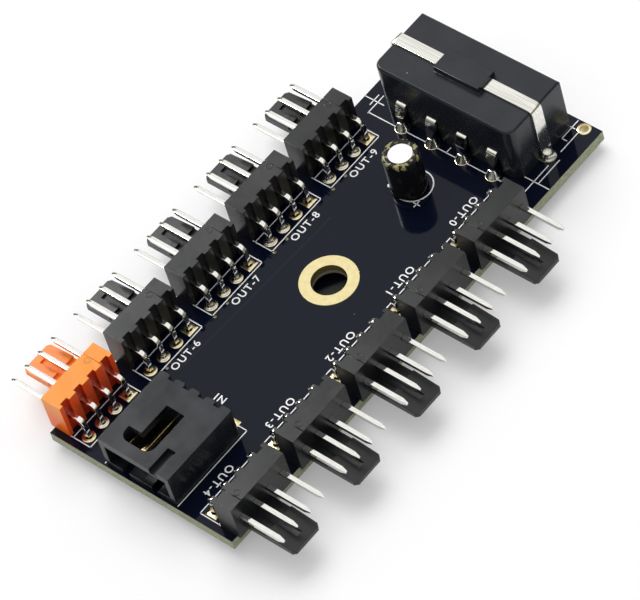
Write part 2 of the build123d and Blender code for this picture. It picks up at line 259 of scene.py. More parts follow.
# %% Board finish
board_low, board_high = (corner.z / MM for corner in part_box("circuit_board"))
HAIR = 0.02
TRACE_SLOPE, TRACE_MIDDLE, TRACE_HALF_WIDTH = 0.04, 6.68, 0.05
TRACE_START, TRACE_END = -21, 8
mask_ink = Finish("solder_mask", Specular_IOR_Level=0.21)
x, y, z = mask_ink.axes()
cut_edge = (z > board_low + HAIR) * (z < board_high - HAIR)
cloud = mask_ink.noise(0.35, 3)
ink = mask_ink.blend(cloud, (0.0016, 0.0031, 0.0110, 1), (0.0030, 0.0050, 0.0165, 1))
ink = mask_ink.blend(mask_ink.dust(2.6, 0.08), ink, (0.24, 0.25, 0.26, 1))
off_trace = x.math("ABSOLUTE", y + TRACE_SLOPE * x - TRACE_MIDDLE)
on_trace = (off_trace < TRACE_HALF_WIDTH) * (x > TRACE_START) * (x < TRACE_END)
trace = on_trace * (z > board_high - HAIR)
ink = mask_ink.blend(trace, ink, (0.016, 0.018, 0.027, 1))
fibre = mask_ink.noise(1.6, 4, (1, 1, 6))
layers = mask_ink.step(fibre, 0.3, 0.7)
glass = mask_ink.blend(layers, (0.25, 0.27, 0.16, 1), (0.46, 0.48, 0.33, 1))
mask_ink.set("Base Color", mask_ink.blend(cut_edge, ink, glass))
mask_ink.set("Roughness", 0.045 + 0.03 * cloud + 0.5 * cut_edge)
mask_ink.relief(0.0010 * mask_ink.noise(0.9, 2) + 0.01 * cut_edge * fibre)
mask_ink.paint("circuit_board")
print("board faces from", round(board_low, 2), "to", round(board_high, 2), "mm")

# %% [markdown]
# ## Moulded plastics
# The housings are nylon from a spark-eroded mould: a fine even grain, slightly uneven gloss where
# the melt flowed, and specks of dust. Only the pigment differs, so one function mixes all the
# dark ones. A fan header is dull beside its first pin, where the melt came in through the gate,
# and in the notches of its comb, which the spark cut last. The headers stand 12 mm apart, so the
# place along a header is what is left over after dividing by 12.

# %% Plastic finishes
housing_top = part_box("fan_header_0_housing")[1].z / MM
comb_top = housing_top - 0.1
COMB_FLOOR, COMB_FRONT = 12.8, 13.4
HEADER_STEP, FIRST_END = 12, -36.4
HEADER_SHARE, INSIDE_ENDS = 0.85, (0.004, 0.842)
DUST = (0.34, 0.35, 0.36, 1)


def moulded(name, dark, light, gloss, dust_share=0.05, sink=0.05, shine=0.4, header=False):
    """A plastic between two pigments. A header is duller at its gate and in its comb."""
    plastic = Finish(name, Specular_IOR_Level=shine)
    flow = plastic.noise(0.22, 2, (1, 1, 0.5))
    grain = plastic.noise(9, 2)
    pigment = plastic.blend(plastic.step(flow, 0.3, 0.72), (*dark, 1), (*light, 1))
    specks = plastic.dust(1.9, dust_share)
    plastic.set("Base Color", plastic.blend(specks, pigment, DUST))
    roughness = gloss + 0.08 * flow + 0.05 * grain
    if header:
        x, y, z = plastic.axes()
        along = x.math("FRACT", (x - FIRST_END) * (1 / HEADER_STEP))
        far_row = y > 0
        from_gate = far_row * (HEADER_SHARE - along) + (1 - far_row) * along
        out = x.math("ABSOLUTE", y)
        between_ends = (along > INSIDE_ENDS[0]) * (along < INSIDE_ENDS[1])
        notch = between_ends * (z < comb_top) * (out > COMB_FLOOR) * (out < COMB_FRONT)
        roughness = roughness - 0.07 * plastic.step(from_gate, 0.1, 0.8) + 0.5 * notch
        flow = flow + 0.3 * plastic.noise(0.9, 3)
    plastic.set("Roughness", roughness)
    plastic.relief(0.0025 * grain + sink * flow)
    return plastic


black_plastic = moulded(
    "black_plastic", (0.0050, 0.0055, 0.0065), (0.0110, 0.0120, 0.0135), 0.29, header=True
)
power_plastic = moulded(
    "power_plastic", (0.0090, 0.0118, 0.0165), (0.0130, 0.0162, 0.0215), 0.17, 0.10, 0.01
)
grey_plastic = moulded(
    "grey_plastic", (0.0040, 0.0050, 0.0080), (0.0220, 0.0235, 0.0290), 0.18, 0.03, 0.03, 0.26
)
print("three dark plastics mixed")

# %% [markdown]
# ## The orange header
# The coloured header is the same nylon with an orange pigment, and light that enters it comes out
# again further on. Its colour also carries painted light: its thick top and its lock are painted
# a yellower glow than its foot, and its comb is painted a darker red, darkest in the notches, as
# painted shade. The colour changes with the height and with the distance from the middle of the
# board.

# %% Orange plastic
orange_low, orange_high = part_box("fan_header_5_housing")
LOCK_FRONT = 16.1
orange_plastic = Finish(
    "orange_plastic",
    Specular_IOR_Level=0.25,
    Subsurface_Weight=0.4,
    Subsurface_Radius=(1.0, 0.35, 0.10),
    Subsurface_Scale=1.2 * MM,
)
x, y, z = orange_plastic.axes()
out = x.math("ABSOLUTE", y)
lock = out > LOCK_FRONT
between_ends = (x > orange_low.x / MM + 0.04) * (x < orange_high.x / MM - 0.04)
comb = between_ends * (z < comb_top) * (out < COMB_FRONT)
# Painted light and shade: the top and the lock take the yellow painted glow, the foot the red
# painted shade.
climb = orange_plastic.step(z, 1.2, housing_top - 0.3) * (1 - lock) + 0.65 * lock
flow = orange_plastic.noise(0.5, 3)
painted_shade = orange_plastic.blend(flow, (0.96, 0.140, 0.008, 1), (0.99, 0.175, 0.014, 1))
painted_glow = orange_plastic.blend(flow, (0.93, 0.275, 0.018, 1), (0.97, 0.335, 0.030, 1))
body = orange_plastic.blend(climb, painted_shade, painted_glow)
# Painted shade: the comb is painted a darker red, darkest in the notches.
painted_deep_shade = orange_plastic.blend(out > COMB_FLOOR, (0.93, 0.100, 0.018, 1), (0.58, 0.040, 0.010, 1))
orange_plastic.set("Base Color", orange_plastic.blend(comb, body, painted_deep_shade))
orange_plastic.set("Roughness", 0.26 + 0.10 * flow)
orange_plastic.relief(0.0025 * orange_plastic.noise(9, 2) + 0.03 * flow)
print("orange from", round(orange_low.z / MM, 2), "to", round(orange_high.z / MM, 2), "mm")

# %% [markdown]
# ## Metals
# Tin, gold and solder differ in colour and in how smooth they are. Drawn pins carry faint
# lengthwise streaks, the gold is a little uneven, and solder sets with a brown trace of flux
# here and there.


# %% Metal finishes
def metal(name, dull, bright, gloss, streaks=(1, 1, 1), per_mm=3.0, depth=0.0008):
    """A metal between two tones, with wear drawn out along the streaks."""
    plate = Finish(name, Metallic=1.0)
    wear = plate.noise(per_mm, 3, streaks)
    plate.tone = plate.blend(plate.step(wear, 0.3, 0.7), (*dull, 1), (*bright, 1))
    plate.set("Base Color", plate.tone)
    plate.set("Roughness", gloss + 0.06 * wear)
    plate.relief(depth * wear)
    return plate


tin = metal("bright_tin", (0.78, 0.77, 0.72), (0.91, 0.90, 0.87), 0.045, (4, 0.3, 4))
strap_tin = metal(
    "strap_tin", (0.70, 0.69, 0.63), (0.92, 0.91, 0.86), 0.08, (5, 0.12, 1), 1.4, 0.0025
)
gold = metal("gold_plating", (0.86, 0.72, 0.37), (0.91, 0.80, 0.44), 0.07, per_mm=1.2)
pad_gold = metal("pad_gold", (0.84, 0.69, 0.40), (0.93, 0.83, 0.55), 0.18, per_mm=1.2)
inlet_gold = metal("inlet_gold", (0.62, 0.46, 0.17), (0.85, 0.70, 0.38), 0.14, (0.3, 4, 4))
# Painted light: the solder on the power tails is the same alloy as the rest, painted brighter, and
# the other solder is painted darker.
solder = metal("solder", (0.46, 0.44, 0.37), (0.78, 0.78, 0.76), 0.08, per_mm=1.1, depth=0.008)
tail_solder_painted_bright = metal(
    "tail_solder_painted_bright", (0.70, 0.68, 0.60), (0.93, 0.93, 0.91), 0.20, per_mm=1.1, depth=0.012
)
aluminium = metal("aluminium", (0.90, 0.91, 0.91), (0.96, 0.97, 0.97), 0.16, per_mm=6.0)
via_copper = metal("covered_copper", (0.15, 0.14, 0.09), (0.34, 0.32, 0.22), 0.25, per_mm=2.0)
print("nine metals ready")

# %% [markdown]
# ## From a bmesh to a piece
# Every new shape ends the same way: its edges are marked sharp or smooth by their angle, it gets
# its finish, and it rides on the hub. Flat faces beside narrow rounded ones shade evenly when
# each face counts by its area, so a Weighted Normal modifier closes each piece.

# %% Piece maker
SMOOTH_BELOW = radians(38)


def piece(name, shape, finish, stands_for=()):
    """Makes a shape an object on the hub, which may stand for CAD nodes."""
    bmesh.ops.remove_doubles(shape, verts=shape.verts, dist=1e-7)
    shape.normal_update()
    for face in shape.faces:
        face.smooth = True
    for edge in shape.edges:
        edge.smooth = edge.is_manifold and edge.calc_face_angle() < SMOOTH_BELOW
    mesh = bpy.data.meshes.new(name)
    shape.to_mesh(mesh)
    shape.free()
    mesh.materials.append(finish.material)
    made = bpy.data.objects.new(name, mesh)
    bpy.context.scene.collection.objects.link(made)
    even = made.modifiers.new("even_shading", "WEIGHTED_NORMAL")
    even.keep_sharp = True
    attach(made, "root")
    if stands_for:
        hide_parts(*stands_for)
    return made


def stamp(shape, master, *places):
    """Copies of a finished mesh, one at each place."""
    for place in places:
        first = len(shape.verts)
        shape.from_mesh(master)
        shape.verts.ensure_lookup_table()
        bmesh.ops.transform(shape, matrix=place, verts=shape.verts[first:])


def as_master(shape):
    """Keeps a shape as a mesh that is stamped many times."""
    mesh = bpy.data.meshes.new("master")
    shape.to_mesh(mesh)
    shape.free()
    return mesh


def at(px, py, pz=0.0, spin=0.0):
    """A place on the hub in millimetres, turned about the upright axis."""
    return Matrix.Translation(Vector((px, py, pz)) * MM) @ Matrix.Rotation(radians(spin), 4, "Z")


print("piece maker ready")

# %% [markdown]
# ## Eased edges
# No moulded edge is perfectly sharp: up to a tenth of a millimetre of rounding catches the light
# and draws a thin bright line. The CAD solids have sharp edges and stay as they are, so a merged
# copy of each one is bevelled and stands for it.


# %% Housings and strap
def round_edges(shape, sharp, ease, clamp=False):
    """Rounds every edge that turns by more than an angle, by that many millimetres."""
    hard = [e for e in shape.edges if e.is_manifold and e.calc_face_angle() > radians(sharp)]
    bmesh.ops.bevel(
        shape,
        geom=hard,
        offset=ease * MM,
        offset_type="OFFSET",
        segments=2,
        profile=0.5,
        affect="EDGES",
        clamp_overlap=clamp,
        material=-1,
    )


def eased(node, ease):
    """A merged copy of a CAD solid with its hard edges rounded."""
    shape = bmesh.new()
    shape.from_mesh(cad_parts[node].data)
    bmesh.ops.remove_doubles(shape, verts=shape.verts, dist=2e-7)
    bmesh.ops.dissolve_limit(shape, angle_limit=radians(0.5), verts=shape.verts, edges=shape.edges)
    round_edges(shape, 30, ease, clamp=True)
    return shape


def stand_in(name, node, ease, finish):
    """An eased copy as a piece that stands for its CAD node."""
    piece(name, eased(node, ease), finish, [node])


for number in range(HEADERS):
    node = f"fan_header_{number}_housing"
    if number == ORANGE:
        stand_in(f"{node}_eased", node, 0.06, orange_plastic)
    else:
        stand_in(f"{node}_eased", node, 0.06, black_plastic)
stand_in("power_housing_eased", "power_connector_housing", 0.08, power_plastic)
stand_in("inlet_housing_eased", "input_connector_housing", 0.10, grey_plastic)
stand_in("strap_eased", "power_connector_strap", 0.06, strap_tin)
print("thirteen solids eased")

# %% [markdown]
# ## Square pins
# A header pin is square wire, bent over a round tool and coined to a point. The bend is made by
# spinning the wire's end face round the bend's centre, and the run out to the tip by extruding
# it.

# %% Pins
PIN, PITCH, ROW = 0.64, 2.54, 10.7
TAIL_END = cad_box[0].z / MM
COINED, COINED_SHARE, POINT_SHARE = 0.3, (0.6, 0.6, 0.6), (0.45, 0.45, 0.45)
header_boxes = [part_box(f"fan_header_{n}_housing") for n in range(HEADERS)]
centers = [(low.x + high.x) / 2 / MM for low, high in header_boxes]
header_places = [
    at(center, -ROW, 0, 180) if number in NEAR_ROW else at(center, ROW)
    for number, center in enumerate(centers)
]
offsets = [PITCH * (n - 1.5) for n in range(4)]


def end_face(shape, direction):
    """The face that lies furthest in a direction."""
    return max(shape.faces, key=lambda f: f.calc_center_median().dot(direction))


def pull(shape, face, shift, shrink=(1, 1, 1)):
    """Draws a face out along a shift in millimetres, narrower by a factor on each axis."""
    grown = bmesh.ops.extrude_face_region(shape, geom=[face])["geom"]
    verts = [v for v in grown if isinstance(v, bmesh.types.BMVert)]
    middle = sum((v.co for v in verts), Vector()) / len(verts)
    bmesh.ops.scale(shape, vec=shrink, space=Matrix.Translation(-middle), verts=verts)
    bmesh.ops.translate(shape, vec=Vector(shift) * MM, verts=verts)
    closed_end = len(shape.faces) <= 6  # a lone square stays as the far end of its first pull
    if face.is_valid and not closed_end:
        bmesh.ops.delete(shape, geom=[face], context="FACES_ONLY")
    return next(f for f in grown if isinstance(f, bmesh.types.BMFace))


def bend_end(shape, face, centre, axis, angle, steps):
    """Spins an end face round a centre in millimetres and gives back the new end."""
    turned_end = bmesh.ops.spin(
        shape,
        geom=[face, *face.edges, *face.verts],
        cent=Vector(centre) * MM,
        axis=axis,
        angle=radians(angle),
        steps=steps,
        use_merge=False,
        use_normal_flip=False,
        use_duplicate=False,
    )["geom_last"]
    return next(f for f in turned_end if isinstance(f, bmesh.types.BMFace))


def welded(shape):
    """Joins corners that meet and turns every face outwards."""
    bmesh.ops.remove_doubles(shape, verts=shape.verts, dist=1e-8)
    bmesh.ops.recalc_face_normals(shape, faces=shape.faces)
    return shape


def bent_pin(height, reach, bend=0.8, point=0.9):
    """A pin that rises from its tail at the origin, bends and runs out along +Y."""
    shape = bmesh.new()
    start = TAIL_END + COINED
    square = Matrix.Translation((0, 0, start * MM)) @ Matrix.Rotation(radians(45), 4, "Z")
    corner = PIN * MM / sqrt(2)
    bmesh.ops.create_circle(shape, cap_ends=True, segments=4, radius=corner, matrix=square)
    top = pull(shape, shape.faces[:][0], (0, 0, height - bend - start))
    front = bend_end(shape, top, (0, bend, height - bend), (1, 0, 0), -90, 7)
    front = pull(shape, front, (0, reach - bend - point, 0))
    pull(shape, front, (0, point, 0), POINT_SHARE)
    tail = end_face(shape, Vector((0, 0, -1)))
    pull(shape, tail, (0, 0, -COINED), COINED_SHARE)
    round_edges(welded(shape), 60, 0.05)
    return as_master(shape)


header_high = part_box("fan_header_5_pins")[1]
header_reach = header_high.y / MM - ROW
header_pin = bent_pin(header_high.z / MM - PIN / 2, header_reach)
for number, place in enumerate(header_places):
    shape = bmesh.new()
    stamp(shape, header_pin, *(place @ at(offset, 0) for offset in offsets))
    replaced = [f"fan_header_{number}_pins"]
    piece(f"fan_header_{number}_bent_pins", shape, tin, replaced)
inlet_low, inlet_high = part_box("input_connector_pins")
inlet_pads = inlet_high.x / MM - PIN / 2
inlet_pin = bent_pin(inlet_high.z / MM - PIN / 2, inlet_pads - inlet_low.x / MM)
shape = bmesh.new()
stamp(shape, inlet_pin, *(at(inlet_pads, offset, 0, 90) for offset in offsets))
piece("inlet_bent_pins", shape, inlet_gold, ["input_connector_pins"])
print("header pins reach", round(header_reach, 2), "mm")

# %% [markdown]
# ## Turned shapes
# Plated holes, solder joints and the capacitor are all round. Each one is a profile of a few
# points, radius and height, spun once round the upright axis, as on a lathe.


# %% Lathe
def turned(profile, steps=32, closed=True):
    """A solid of revolution. A closed profile is a ring, and an open one runs from axis to axis."""
    shape = bmesh.new()
    verts = [shape.verts.new((r * MM, 0, h * MM)) for r, h in profile]
    pairs = list(zip(verts, verts[1:])) + ([(verts[-1], verts[0])] if closed else [])
    edges = [shape.edges.new(pair) for pair in pairs]
    bmesh.ops.spin(
        shape,
        geom=verts + edges,
        cent=(0, 0, 0),
        axis=(0, 0, 1),
        angle=radians(360),
        steps=steps,
        use_merge=True,
    )
    return welded(shape)


BOARD = -board_low
print("lathe ready")

# %% [markdown]
# ## Power contacts
# Behind its round nose, each contact is a flat strip. It leaves the back of the housing, bends
# over with a round shoulder that catches the light, slopes down and narrows to a leg for its
# hole. The strip's end face is spun round the bend and then drawn out in straight runs.

# %% Power contacts
contact_low, contact_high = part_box("power_contact_1")
NOSE, STRIP, STRIP_WIDTH, POWER_PITCH = 2.1, 0.5, 1.5, 5.08
NOSE_START, STRIP_START, STRIP_RUN, SHOULDER_START = 2.49, 2.4, 2.09, 0.21
KNEE, NARROWS_AT, LEG_SHARE = 1.6, 0.42, 0.6
power_pads = contact_low.x / MM + STRIP / 2
power_offsets = [POWER_PITCH * (n - 1.5) for n in range(4)]
housing_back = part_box("power_connector_housing")[0].x / MM
strip_height = contact_high.z / MM - NOSE + STRIP / 2
nose_profile = [(0, 0), (NOSE / 2, 0), (NOSE / 2, 6.2), (0.45, 6.8), (0, 6.8)]


def bent_contact(turn_down=70.6, shoulder=0.55):
    """A contact on the middle line: nose inside the housing, tail down through the board."""
    shape = turned(nose_profile, 28, closed=False)
    nose_height = strip_height + (NOSE - STRIP) / 2
    nose = Matrix.Translation(Vector((housing_back + NOSE_START, 0, nose_height)) * MM)
    lying = nose @ Matrix.Rotation(radians(90), 4, "Y")
    bmesh.ops.transform(shape, matrix=lying, verts=shape.verts)
    start = Vector((housing_back + STRIP_START, 0, strip_height)) * MM
    strip = bmesh.ops.create_cube(shape, size=1, matrix=Matrix.Translation(start))["verts"]
    block = (0.2 * MM, STRIP_WIDTH * MM, STRIP * MM)
    bmesh.ops.scale(shape, vec=block, space=Matrix.Translation(-start), verts=strip)
    sides = {f for v in strip for f in v.link_faces}
    front = min(sides, key=lambda f: f.calc_center_median().x)
    front = pull(shape, front, (-STRIP_RUN, 0, 0))
    centre = (housing_back + SHOULDER_START, 0, strip_height - shoulder)
    front = bend_end(shape, front, centre, (0, 1, 0), -turn_down, 8)
    middle = front.calc_center_median() / MM
    knee = Vector((power_pads, 0, KNEE))
    wide_run = (knee - middle) * NARROWS_AT
    front = pull(shape, front, wide_run)
    front = pull(shape, front, knee - middle - wide_run, (1, LEG_SHARE, 1))
    pull(shape, front, (0, 0, TAIL_END - KNEE), (1, 1, 0))
    return as_master(welded(shape))


contact = bent_contact()
for number, offset in enumerate(power_offsets, start=1):
    shape = bmesh.new()
    stamp(shape, contact, at(0, offset))
    piece(f"power_contact_{number}_bent", shape, tin, [f"power_contact_{number}"])
print("contacts leave the housing", round(strip_height, 2), "mm above the board")

# %% [markdown]
# ## Gold-plated holes
# Every tail passes through a plated hole with a gold pad. The first pin of each header has a
# square pad, so that the maker can tell which way round it goes. The small hole in the corner,
# which holds no tail, is plated in the same bath.

# %% Plated holes
FOIL, THIN_SKIN = 0.035, 0.03
PIN_HOLE, POWER_HOLE, STRAP_HOLE, LEAD_HOLE, CORNER_HOLE = 0.545, 0.645, 0.745, 0.395, 0.649
STRAP = 0.4


def plated_hole(pad, hole, skin=FOIL, foil=FOIL, steps=24, square=False):
    """The plating of one hole: a pad on each face and the barrel between them."""
    inner = hole - skin
    rings = [(inner, foil), (pad - 0.03, foil), (pad, foil * 0.5), (pad, 0), (hole, 0)]
    profile = rings + [(r, -BOARD - h) for r, h in reversed(rings)]
    shape = turned(profile, steps)
    if square:
        for v in shape.verts:
            if v.co.xy.length > (pad - 0.05) * MM:
                v.co.xy *= v.co.xy.length / max(abs(v.co.x), abs(v.co.y))
    return shape


round_pad = as_master(plated_hole(0.92, PIN_HOLE))
square_pad = as_master(plated_hole(0.90, PIN_HOLE, square=True))
shape = bmesh.new()
for place in header_places:
    stamp(shape, round_pad, *(place @ at(offset, 0) for offset in offsets[:3]))
    stamp(shape, square_pad, place @ at(offsets[3], 0))
stamp(shape, round_pad, *(at(inlet_pads, offset) for offset in offsets[1:]))
stamp(shape, square_pad, at(inlet_pads, offsets[0]))
power_pad = as_master(plated_hole(1.05, POWER_HOLE, steps=32))
stamp(shape, power_pad, *(at(power_pads, offset) for offset in power_offsets))
strap_low, strap_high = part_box("power_connector_strap")
strap_x = (strap_low.x + strap_high.x) / 2 / MM
strap_y = strap_high.y / MM - STRAP / 2
strap_pad = as_master(plated_hole(1.15, STRAP_HOLE))
stamp(shape, strap_pad, at(strap_x, strap_y), at(strap_x, -strap_y))
can_low, can_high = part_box("capacitor_sleeve")
can_x, can_y = (can_low.x + can_high.x) / 2 / MM, (can_low.y + can_high.y) / 2 / MM
lead_places = [at(can_x - 1, can_y), at(can_x + 1, can_y)]
lead_pad = as_master(plated_hole(0.75, LEAD_HOLE, THIN_SKIN))
stamp(shape, lead_pad, *lead_places)
corner_pad = as_master(plated_hole(0.97, CORNER_HOLE, THIN_SKIN, steps=32))
stamp(shape, corner_pad, at(36.45, -13.15))
piece("gold_pads", shape, pad_gold)
print("fifty-three plated holes")

# %% [markdown]
# ## The mounting hole
# A wide gold ring surrounds the hole in the middle. Inside the hole the gold is painted a
# dull brown as painted shade, with a paler band of painted light at the bottom, and it hardly
# mirrors there.

# %% Mounting ring
MOUNTING_HOLE = 2.449
height = gold.axes()[2]
# Painted shade and light: the barrel is painted dull brown for the shade in the hole, with a paler
# painted band of light at its bottom.
barrel = (height < -0.03) * (height > board_low + HAIR)
above_band = gold.step(height, -1.15, -0.95)
painted_barrel_light_and_shade = gold.blend(above_band, (0.36, 0.34, 0.27, 1), (0.18, 0.14, 0.05, 1))
gold.set("Base Color", gold.blend(barrel, gold.tone, painted_barrel_light_and_shade))
gold.set("Metallic", 1 - 0.9 * barrel)
ring_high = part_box("mounting_hole_plating")[1]
mounting_ring = plated_hole(ring_high.x / MM, MOUNTING_HOLE, THIN_SKIN, ring_high.z / MM, 96)
piece("mounting_ring", mounting_ring, gold, ["mounting_hole_plating"])
print("mounting ring", round(2 * ring_high.x / MM, 2), "mm across")

# %% [markdown]
# ## Solder
# Molten solder climbs the tail and pulls itself into a hollow cone. Under the board every tail
# has one. On top it shows only where it rose right through the hole, so some pads stay bare gold.


# %% Solder joints
def solder_cone(foot, neck, height, lift, hollow=2.0, flat=None):
    """A hollow-sided cone on a pad. A flat tail draws its neck out along Y."""
    profile = [(0, lift), (foot, lift), (foot * 0.98, lift + 0.04)]
    for share in (0.17, 0.35, 0.55, 0.77, 1.0):
        profile.append((neck + (foot - neck) * (1 - share) ** hollow, lift + height * share))
    profile += [(neck * 0.6, lift + height + 0.05), (0, lift + height + 0.06)]
    shape = turned(profile, 28, closed=False)
    if flat:
        for v in shape.verts:
            climb = max(0.0, (v.co.z / MM - lift) / height - 0.1)
            v.co.y *= 1 + (flat - 1) * min(1.0, climb * 1.3)
    return as_master(shape)


FLIP = Matrix.Rotation(radians(180), 4, "X")
under_pin = solder_cone(0.90, 0.42, 0.78, BOARD + FOIL)
wetted_pin = solder_cone(0.74, 0.40, 0.42, FOIL)
for number, place in enumerate(header_places):
    shape = bmesh.new()
    stamp(shape, under_pin, *(place @ at(offset, 0) @ FLIP for offset in offsets))
    replaced = [f"fan_header_{number}_solder"]
    piece(f"fan_header_{number}_solder_cones", shape, solder, replaced)
rose_through = {
    9: (0, 1, 2),
    8: (0, 1),
    7: (0, 1, 2),
    6: (1,),
    5: (1, 2),
    0: (1,),
    2: (0,),
    3: (2,),
}
shape = bmesh.new()
for number, pins in rose_through.items():
    stamp(shape, wetted_pin, *(header_places[number] @ at(offsets[pin], 0) for pin in pins))
piece("top_solder", shape, solder)
shape = bmesh.new()
stamp(shape, under_pin, *(at(inlet_pads, offset) @ FLIP for offset in offsets))
piece("inlet_solder_cones", shape, solder, ["input_connector_solder"])
shape = bmesh.new()
tail_top = solder_cone(1.0, 0.36, 1.15, FOIL, 1.25, 1.4)
tail_under = solder_cone(1.0, 0.40, 0.80, BOARD + FOIL, 2.0, 1.4)
leg_top = solder_cone(1.05, 0.55, 0.85, FOIL)
leg_under = solder_cone(1.08, 0.62, 0.78, BOARD + FOIL)
stamp(shape, tail_top, *(at(power_pads, offset) for offset in power_offsets))
stamp(shape, tail_under, *(at(power_pads, offset) @ FLIP for offset in power_offsets))
stamp(shape, leg_top, at(strap_x, strap_y + 0.25), at(strap_x, -strap_y - 0.25))
stamp(shape, leg_under, at(strap_x, strap_y) @ FLIP, at(strap_x, -strap_y) @ FLIP)
piece("power_solder_cones", shape, tail_solder_painted_bright, ["power_connector_solder"])
shape = bmesh.new()
lead_under = solder_cone(0.74, 0.34, 0.75, BOARD + FOIL)
stamp(shape, lead_under, *(place @ FLIP for place in lead_places))
piece("capacitor_solder_cones", shape, solder, ["capacitor_solder"])
print("solder set on", sum(len(p) for p in rose_through.values()), "top pads")

# %% [markdown]
# ## The capacitor
# A small can of aluminium in a shrunk plastic sleeve. The sleeve is turned in over the can's top
# edge, where it wrinkles and shows its gold print, and it is drawn in at the crimp near the foot.
# Its bright top is bare metal. The bung and the leads stay CAD solids, with a finish of their
# own.

# %% Capacitor
sleeve = Finish("shrunk_sleeve", Roughness=0.24, Specular_IOR_Level=0.3)
height = sleeve.axes()[2]
can_top = can_high.z / MM
lip = sleeve.step(height, can_top - 0.85, can_top - 0.55)
patches = sleeve.step(sleeve.noise(1.3, 2.5), 0.53, 0.58)
faint = sleeve.step(sleeve.noise(1.1, 2, (1, 1, 0.4)), 0.58, 0.74) * (1 - lip)
print_share = lip * patches + 0.07 * faint
film = sleeve.blend(print_share, (0.006, 0.006, 0.007, 1), (0.33, 0.30, 0.12, 1))
sleeve.set("Base Color", film)
sleeve.relief(0.012 * sleeve.noise(2.2, 2, (1, 1, 0.3)))
radius = (can_high.x - can_low.x) / 2 / MM
bore = radius - 0.12
can_radius = radius - 0.125
FOOT, CRIMP, CRIMP_HALF, PINCH, LIP = 0.42, 1.6, 0.30, 0.14, 0.86
sleeve_outside = [
    (radius, FOOT),
    (radius, CRIMP - CRIMP_HALF),
    (radius - PINCH, CRIMP - 0.10),
    (radius - PINCH, CRIMP + 0.10),
    (radius, CRIMP + CRIMP_HALF),
    (radius, can_top - 0.42),
    (radius - 0.06, can_top - 0.18),
    (radius - 0.20, can_top - 0.04),
    (radius - 0.42, can_top),
    (radius - 0.80, can_top - 0.03),
    (radius - LIP, can_top - 0.09),
    (radius - LIP, can_top - 0.13),
]
sleeve_inside = [
    (bore, can_top - 0.13),
    (bore, CRIMP + CRIMP_HALF),
    (bore - PINCH, CRIMP),
    (bore, CRIMP - CRIMP_HALF),
    (bore, FOOT),
]
can_outside = [
    (0, 0.41),
    (can_radius, 0.41),
    (can_radius, CRIMP - CRIMP_HALF),
    (can_radius - PINCH, CRIMP),
    (can_radius, CRIMP + CRIMP_HALF),
    (can_radius, can_top - 0.30),
    (can_radius - 0.2, can_top - 0.14),
    (can_radius - 0.7, can_top - 0.135),
    (0, can_top - 0.13),
]
shape = turned(sleeve_outside + sleeve_inside, 64)
bmesh.ops.transform(shape, matrix=at(can_x, can_y), verts=shape.verts)
piece("capacitor_shrunk_sleeve", shape, sleeve, ["capacitor_sleeve"])
shape = turned(can_outside, 64, closed=False)
bmesh.ops.transform(shape, matrix=at(can_x, can_y), verts=shape.verts)
piece("capacitor_drawn_can", shape, aluminium, ["capacitor_can"])
rubber = moulded("bung_rubber", (0.010, 0.010, 0.010), (0.018, 0.018, 0.018), 0.60, 0.0)
rubber.paint("capacitor_bung")
tin.paint("capacitor_leads")
print("capacitor", round(2 * radius, 2), "mm across and", round(can_top, 2), "mm tall")

# %% [markdown]
# ## White ink
# Outlines are printed through a fine screen, as a film of ink that stands a hair above the mask.
# A line is a thin bar, as long as its two ends are apart and turned along them.

# %% Ink and outlines
white_ink = Finish("white_ink")
blotch = white_ink.noise(3.0, 3)
dense = white_ink.step(blotch, 0.25, 0.55)
white = white_ink.blend(dense, (0.84, 0.85, 0.84, 1), (0.97, 0.98, 0.97, 1))
white_ink.set("Base Color", white)
white_ink.set("Roughness", 0.5 + 0.2 * blotch)
INK, LINE, THIN_LINE = 0.02, 0.15, 0.13
HALF_LENGTH, WALL_LINE, EDGE_END = 4.98, 12.35, 15.2
NEAR_BACK, FAR_BACK = 9.22, 9.43
outlines = bmesh.new()


def line(start, end, width=LINE):
    """Prints one straight line between two places in millimetres."""
    a, b = Vector((*start, INK / 2)), Vector((*end, INK / 2))
    run = b - a
    turned_along = run.to_track_quat("X", "Z").to_matrix().to_4x4()
    place = Matrix.Translation((a + b) / 2 * MM) @ turned_along
    bar = Matrix.Diagonal(((run.length + width) * MM, width * MM, INK * MM, 1))
    bmesh.ops.create_cube(outlines, size=1, matrix=place @ bar)


for number, center in enumerate(centers):
    row_side = -1 if number in NEAR_ROW else 1
    back = row_side * (NEAR_BACK if number in NEAR_ROW else FAR_BACK)
    wall, edge = row_side * WALL_LINE, row_side * EDGE_END
    left, right = center - HALF_LENGTH, center + HALF_LENGTH
    line((left, back), (right, back))
    line((left, wall), (right, wall), THIN_LINE)
    line((left, back), (left, edge))
    line((right, back), (right, edge))
power_lines = [
    ((24.05, 13.24), (24.10, -12.86)),
    ((23.96, 13.24), (27.2, 13.24)),
    ((26.0, 15.3), (26.0, 12.2)),
    ((25.2, 13.9), (27.0, 13.9)),
    ((24.3, -12.87), (29.27, -12.87)),
    ((31.97, -12.87), (35.42, -12.87)),
    ((26.39, -13.57), (30.7, -13.57)),
    ((26.26, -11.2), (26.26, -15.3)),
    ((33.72, -11.63), (37.1, -11.63)),
    ((35.84, -11.2), (35.84, -12.1)),
    ((33.72, -11.63), (33.72, -12.4)),
    ((24.1, 0.0), (25.0, 0.0)),
]
inlet_lines = [
    ((-37.0, -6.15), (-23.62, -6.15)),
    ((-23.62, -6.15), (-23.62, -4.75)),
    ((-37.0, 6.15), (-23.62, 6.15)),
    ((-23.62, 6.15), (-23.62, 4.75)),
]
plus_sign = [((14.97, -1.98), (15.97, -1.98)), ((15.47, -2.48), (15.47, -1.48))]
for start, end in power_lines + inlet_lines + plus_sign:
    line(start, end)
RING_IN, RING_OUT, DOT = 2.53, 2.71, 0.32
